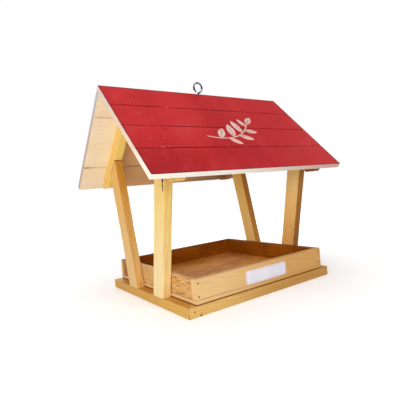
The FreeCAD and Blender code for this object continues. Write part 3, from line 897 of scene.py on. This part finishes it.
def nail_steel(name, colour, rust, metallic):
    """Plain steel that the weather has browned, or that stain has covered."""
    finish, tree = new_finish(name)
    cloud = noise(tree, object_place(tree), 700, 3.0)
    weathered = mixed(tree, rise(tree, cloud, 0.35, 0.65), colour, rust)
    rough = rise(tree, cloud, 0.3, 0.7, 0.6, 0.8)
    coat(tree, weathered, rough, cloud, bump=0.2, sockets={"Metallic": metallic, "Specular IOR Level": 0.1})
    return finish


def label_vinyl(name, first, second):
    """Smooth printed vinyl, clouded between two close tones."""
    finish, tree = new_finish(name)
    place = object_place(tree)
    skin = noise(tree, place, 900)
    colour = mixed(tree, rise(tree, noise(tree, place, 45), 0.3, 0.7), first, second)
    rough = rise(tree, skin, 0.3, 0.7, 0.30, 0.38)
    coat(tree, colour, rough, skin, bump=0.04, sockets={"Specular IOR Level": 0.3})
    return finish


# Making pieces


def pick(*pieces):
    """Selects these pieces alone, and makes the first the active one."""
    bpy.ops.object.select_all(action="DESELECT")
    for piece in pieces:
        piece.select_set(True)
    bpy.context.view_layer.objects.active = pieces[0]


def placed(name, data):
    """A new object in the scene, with the given mesh, curve, lamp or lens."""
    item = bpy.data.objects.new(name, data)
    bpy.context.scene.collection.objects.link(item)
    return item


def edit_mode():
    bpy.ops.object.mode_set(mode="EDIT")


def object_mode():
    bpy.ops.object.mode_set(mode="OBJECT")


def choose(piece, kind, test):
    """In edit mode, selects the edges or the faces that pass a test."""
    bpy.ops.mesh.select_all(action="DESELECT")
    bpy.ops.mesh.select_mode(type=kind)
    mesh = bmesh.from_edit_mesh(piece.data)
    for part in mesh.edges if kind == "EDGE" else mesh.faces:
        part.select_set(test(part))
    bmesh.update_edit_mesh(piece.data)


def named(name):
    """Names the piece just added, with its place in its mesh."""
    piece = bpy.context.object
    piece.name = name
    pick(piece)
    bpy.ops.object.transform_apply(location=True, rotation=True, scale=True)
    return piece


def add_block(name, low, high):
    low, high = Vector(low), Vector(high)
    bpy.ops.mesh.primitive_cube_add(size=1, location=(low + high) / 2, scale=high - low)
    return named(name)


def add_disc(name, radius, thickness, middle):
    bpy.ops.mesh.primitive_cylinder_add(vertices=96, radius=radius, depth=thickness, location=middle)
    return named(name)


def combine(piece, other, operation, keep=False, own=False):
    """Cuts or crosses a piece with another, which then goes unless kept. Own: it may overlap itself."""
    pick(piece)
    change = piece.modifiers.new("combine", "BOOLEAN")
    change.object = other
    change.operation = operation
    change.solver = "EXACT"
    change.use_self = own
    change.material_mode = "TRANSFER"
    bpy.ops.object.modifier_apply(modifier=change.name)
    if not keep:
        bpy.data.objects.remove(other)


def joined(pieces, name):
    pick(*pieces)
    bpy.ops.object.join()
    bpy.context.object.name = name
    return bpy.context.object


# The ornament on the roof

CUT_DEPTH = 0.8 * MM
CUT_ABOVE = 2 * MM
STEM_WIDTH = 2.2 * MM
MIDRIB_WIDTH = 0.7 * MM
MIDRIB_SHARE = 0.80

# The sprig's middle: to the right of the roof's middle, and down the slope from the ridge
SPRIG_MIDDLE = (1 * MM, 100 * MM)

# The start, the bend and the end of the stem's line, in millimetres from the sprig's middle
STEM = ((-57, -20), (2, -40), (43, 13))

# Leaves: the foot's share of the way along the stem, the turn from the stem in degrees, and the length
# and the width in millimetres
LEAVES = (
    (0.20, 60, 30, 12),
    (0.34, -44, 24, 10),
    (0.46, 62, 35, 14),
    (0.58, -46, 27, 11),
    (0.71, 62, 33, 13),
    (0.80, -50, 25, 10),
    (0.93, 58, 22, 9),
    (1.00, -8, 28, 11),
)


def stem_point(share):
    """A point of the stem's line and the way it runs there, in millimetres from the middle."""
    start, bend, end = (Vector(p) for p in STEM)
    rest = 1 - share
    point = start * rest * rest + bend * 2 * share * rest + end * share * share
    way = (bend - start) * rest + (end - bend) * share
    return point, math.atan2(way.y, way.x)


def leaf_cutter(name, length, width, turned, foot):
    """A pointed leaf with its midrib left standing. It lies flat, with its foot at a given point."""
    round_size = (length * length + width * width) / (4 * width)
    aside = round_size - width / 2
    thickness = CUT_ABOVE + CUT_DEPTH
    height = (CUT_ABOVE - CUT_DEPTH) / 2
    leaf = add_disc(name, round_size, thickness, (length / 2, aside, height))
    other = add_disc("leaf_side", round_size, thickness, (length / 2, -aside, height))
    combine(leaf, other, "INTERSECT")
    rib = add_block(
        "leaf_rib",
        (-0.1 * length, -MIDRIB_WIDTH / 2, -2 * CUT_ABOVE),
        (MIDRIB_SHARE * length, MIDRIB_WIDTH / 2, 2 * CUT_ABOVE),
    )
    combine(leaf, rib, "DIFFERENCE")
    leaf.data.transform(Matrix.Rotation(turned, 4, "Z"))
    leaf.data.transform(Matrix.Translation((foot.x * MM, foot.y * MM, 0)))
    return leaf


def stem_cutter():
    """A round bar along the stem's line, half of it below the board's face."""
    curve = bpy.data.curves.new("stem", "CURVE")
    curve.dimensions = "3D"
    spline = curve.splines.new("NURBS")
    spline.points.add(len(STEM) - 1)
    for point, (x, y) in zip(spline.points, STEM):
        point.co = (x * MM, y * MM, 0, 1)
    spline.order_u = 3
    spline.use_endpoint_u = True
    spline.resolution_u = 24
    curve.bevel_depth = STEM_WIDTH / 2
    curve.bevel_resolution = 4
    curve.use_fill_caps = True
    pick(placed("stem", curve))
    bpy.ops.object.convert(target="MESH")
    return bpy.context.object


def sprig_cutters(bare):
    """All that is cut out of the roof for the ornament, in its place on the front slope."""
    cutters = [stem_cutter()]
    for number, (share, turned, length, width) in enumerate(LEAVES):
        foot, way = stem_point(share)
        name = f"leaf_{number}"
        cutters.append(leaf_cutter(name, length * MM, width * MM, way + math.radians(turned), foot))
    along, down = SPRIG_MIDDLE
    place = Matrix.Translation((along, -down * DIAGONAL, RIDGE_HEIGHT - down * DIAGONAL))
    lean = Matrix.Rotation(math.radians(45), 4, "X")
    for cutter in cutters:
        cutter.data.transform(place @ lean)
        cutter.data.materials.clear()
        cutter.data.materials.append(bare)
    return cutters


def board_copy(node, name):
    """A roof board's own shape as a new piece, with its triangles merged into whole faces."""
    piece = placed(name, nodes[node].data.copy())
    pick(piece)
    edit_mode()
    bpy.ops.mesh.select_all(action="SELECT")
    bpy.ops.mesh.remove_doubles(threshold=0.001 * MM)
    bpy.ops.mesh.dissolve_limited(angle_limit=math.radians(0.5))
    object_mode()
    return piece


def engraved_boards(bare):
    """The two middle boards of the front slope, with the ornament cut into them."""
    cutter = joined(sprig_cutters(bare), "sprig")
    for number in (2, 3):
        node = f"roof_front_board_{number}"
        piece = board_copy(node, f"engraved_board_{number}")
        piece.data.materials.clear()
        paint = painted_board(f"engraved_paint_{number}", node, SHADED_BARE, BOARD_SHADES[number])
        piece.data.materials.append(paint)
        combine(piece, cutter, "DIFFERENCE", keep=True, own=True)
        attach(piece, "house")
        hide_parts(node)
    bpy.data.objects.remove(cutter)


# The label plate

LABEL_LEFT = -39.5 * MM
LABEL_RIGHT = 41 * MM
LABEL_BOTTOM = 21 * MM
LABEL_TOP = 40.5 * MM
LABEL_THICKNESS = 0.4 * MM
LABEL_CORNER = 4.2 * MM
LABEL_EDGE = 0.1 * MM
LABEL_BORDER = 1.1 * MM
LABEL_LINE = 0.35 * MM


def runs_through(edge):
    """Whether an edge of the plate runs from its back to its face."""
    start, end = edge.verts
    return abs(start.co.y - end.co.y) > LABEL_THICKNESS / 2


def label_plate():
    """A bare plate with rounded corners and a thin line round it, stuck to the tray's front."""
    front = tray_low.y
    outer = front - LABEL_THICKNESS
    plate = add_block("label_plate", (LABEL_LEFT, outer, LABEL_BOTTOM), (LABEL_RIGHT, front, LABEL_TOP))
    plate.data.materials.append(label_vinyl("label_face", tone(242, 238, 246), tone(232, 228, 240)))
    plate.data.materials.append(label_vinyl("label_line", tone(168, 160, 190), tone(158, 150, 182)))
    edit_mode()
    choose(plate, "EDGE", runs_through)
    bpy.ops.mesh.bevel(offset=LABEL_CORNER, segments=8, affect="EDGES")
    choose(plate, "FACE", lambda face: face.normal.y < -0.9)
    bpy.ops.mesh.bevel(offset=LABEL_EDGE, segments=2, affect="EDGES")
    choose(plate, "FACE", lambda face: face.normal.y < -0.999)
    bpy.ops.mesh.inset(thickness=LABEL_BORDER)
    bpy.ops.mesh.inset(thickness=LABEL_LINE)
    chosen = {face.index for face in bmesh.from_edit_mesh(plate.data).faces if face.select}
    bpy.ops.mesh.select_more()
    mesh = bmesh.from_edit_mesh(plate.data)
    for face in mesh.faces:
        if face.select and face.index not in chosen:
            face.material_index = 1
    bmesh.update_edit_mesh(plate.data)
    object_mode()
    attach(plate, "tray")


# Finishes on the frame


def dress(node, finish):
    """Gives a piece of the frame its finish."""
    nodes[node].data.materials.clear()
    nodes[node].data.materials.append(finish)


def lean_way(side):
    """The way that a post runs upwards. Side is -1 at the front and 1 at the back."""
    return (0, side * math.sin(POST_LEAN), math.cos(POST_LEAN))


def dress_house():
    """The base, the posts, the rafters and the batten. Each piece draws its log in turn."""
    for node in ("base_front_rail", "base_back_rail"):
        dress(node, base_wood(node, SIDEWAYS, BASE_FACE, tone(221, 203, 183)))
    for node in ("base_left_rail", "base_right_rail"):
        dress(node, base_wood(node, LENGTHWAYS, BASE, WHITE))
    for corner, look in POST_LOOKS.items():
        node = f"post_{corner}"
        dress(node, pine(node, lean_way(-1 if "front" in corner else 1), look))
    for end, look in (("left", RAFTER), ("right", SHADED)):
        for side, forth in (("front", -DIAGONAL), ("back", DIAGONAL)):
            node = f"rafter_{side}_{end}"
            dress(node, pine(node, (0, forth, -DIAGONAL), look))
    dress("ridge_batten", pine("ridge_batten", SIDEWAYS, BARE))


def dress_tray():
    dress("tray_floor", tray_wood("pine_tray_floor", "tray_floor", SIDEWAYS, TRAY_FRONT, rim=0.7))
    front = tray_wood("pine_tray_front", "tray_front_wall", SIDEWAYS, TRAY_FRONT, rim=0.1, stains=NAIL_STAINS)
    dress("tray_front_wall", front)
    dress("tray_back_wall", tray_wood("pine_tray_back", "tray_back_wall", SIDEWAYS, TRAY, rim=1.0))
    for end, rim in (("left", 0.0), ("right", 0.6)):
        node = f"tray_{end}_wall"
        dress(node, tray_wood(f"pine_{node}", node, LENGTHWAYS, TRAY, rim=rim, sawn=True))


def dress_roof():
    for side, look in (("front", SHADED_BARE), ("back", BARE)):
        for number, shade_deepening in BOARD_SHADES.items():
            node = f"roof_{side}_board_{number}"
            dress(node, painted_board(f"paint_{node}", node, look, shade_deepening))


def dress_metal():
    dress("screw_eye", zinc_steel())
    bare = nail_steel("nail_steel", tone(80, 52, 32), tone(58, 32, 16), metallic=0.4)
    painted = nail_steel("nail_steel_painted", tone(96, 10, 16), tone(72, 8, 12), metallic=0.0)
    for node in nodes:
        if node.endswith("_nails"):
            dress(node, painted if node == "roof_board_nails" else bare)


# Floor, light and camera

# Soft lamps: a name, a place, a width and a power. They all look at the middle of the table
LAMPS = (
    ("left_lamp", (-0.95, -0.5, 0.22), 0.6, 4.6),
    ("near_left_lamp", (-0.6, -0.6, 0.3), 0.35, 1.4),
    ("front_lamp", (0.1, -1.3, 0.9), 0.9, 5.2),
    ("top_lamp", (-0.2, 0.1, 1.5), 0.9, 4.0),
    ("back_lamp", (0.2, 1.3, 0.5), 0.9, 6.5),
    ("right_lamp", (1.3, 0.3, 0.5), 0.7, 3.0),
)
LAMP_AIM = Vector((0, 0, 0.15))

# The floor lies just under the base, and goes from shaded to white between two distances from the middle
FLOOR_SIZE = 12
FLOOR_HEIGHT = -0.2 * MM
WHITE_SPAN = (0.2, 0.7)

# The camera as the photo's own lines give it: its place, its turn, its tilt and its roll, in degrees, and
# the focal length in pixels of a picture 400 pixels wide
CAMERA_PLACE = (-0.373345, -0.510085, 0.16301)
CAMERA_TURN = -34.814
CAMERA_TILT = -1.983
CAMERA_ROLL = -4.98
FOCAL_PIXELS = 366.448
PICTURE_PIXELS = 400
SENSOR_WIDTH = 36


def seen_itself(tree):
    """1 where the camera sees a thing, straight or in a reflection, and 0 where it only gives light."""
    path = step(tree, "LightPath").outputs
    seen = either(tree, path["Is Camera Ray"], path["Is Glossy Ray"])
    return either(tree, seen, path["Is Transmission Ray"])


def studio_floor():
    """A pale floor that keeps the object's shadow and goes white further out."""
    bpy.ops.mesh.primitive_plane_add(size=FLOOR_SIZE, location=(0, 0, FLOOR_HEIGHT))
    floor = named("floor")
    finish, tree = new_finish("floor_paper")
    place = object_place(tree)
    colour = mixed(tree, noise(tree, place, 3.0), tone(236, 236, 236), tone(240, 240, 240))
    paper = step(tree, "BsdfDiffuse", {"Color": colour}).outputs[0]
    out = rise(tree, vector(tree, "LENGTH", place), *WHITE_SPAN, 0.34, 0.95)
    lift = step(tree, "Emission", {"Color": WHITE, "Strength": out}).outputs[0]
    lifted = step(tree, "AddShader", {0: paper, 1: lift}).outputs[0]
    shown = step(tree, "MixShader", {0: seen_itself(tree), 1: paper, 2: lifted})
    step(tree, "OutputMaterial", {"Surface": shown.outputs[0]})
    floor.data.materials.append(finish)


def studio_air():
    """Soft even light all round. Seen directly or in a reflection, it is white."""
    world = bpy.data.worlds.new("studio")
    bpy.context.scene.world = world
    world.use_nodes = True
    tree = world.node_tree
    tree.nodes.clear()
    soft = step(tree, "Background", {"Color": (1.0, 0.99, 0.97, 1), "Strength": 0.3}).outputs[0]
    white = step(tree, "Background", {"Color": WHITE, "Strength": 1.0}).outputs[0]
    shown = step(tree, "MixShader", {0: seen_itself(tree), 1: soft, 2: white})
    step(tree, "OutputWorld", {"Surface": shown.outputs[0]})


def soft_lamp(name, place, size, power):
    light = bpy.data.lights.new(name, "AREA")
    light.shape = "SQUARE"
    light.size = size
    light.energy = power
    lamp = placed(name, light)
    lamp.location = place
    lamp.rotation_mode = "QUATERNION"
    lamp.rotation_quaternion = (LAMP_AIM - Vector(place)).to_track_quat("-Z", "Y")


def camera():
    """The camera where the photographer stood, with the small tilt of the picture."""
    aside = math.radians(CAMERA_TURN)
    above = math.radians(CAMERA_TILT)
    roll = math.radians(CAMERA_ROLL)
    flat = math.cos(above)
    ahead = Vector((-math.sin(aside) * flat, math.cos(aside) * flat, math.sin(above)))
    level = Vector((math.cos(aside), math.sin(aside), 0))
    upright = level.cross(ahead)
    right = level * math.cos(roll) + upright * math.sin(roll)
    up = upright * math.cos(roll) - level * math.sin(roll)
    lens = bpy.data.cameras.new("camera")
    lens.sensor_width = SENSOR_WIDTH
    lens.lens = SENSOR_WIDTH * FOCAL_PIXELS / PICTURE_PIXELS
    lens.clip_start = 0.02
    lens.clip_end = 40
    viewer = placed("camera", lens)
    turn = Matrix((right, up, -ahead)).transposed().to_4x4()
    viewer.matrix_world = Matrix.Translation(CAMERA_PLACE) @ turn
    bpy.context.scene.camera = viewer


# The whole

dress_house()
dress_tray()
dress_roof()
dress_metal()
engraved_boards(engraved_wood())
label_plate()
studio_floor()
studio_air()
for lamp in LAMPS:
    soft_lamp(*lamp)
camera()
bpy.context.scene.view_settings.view_transform = "Standard"
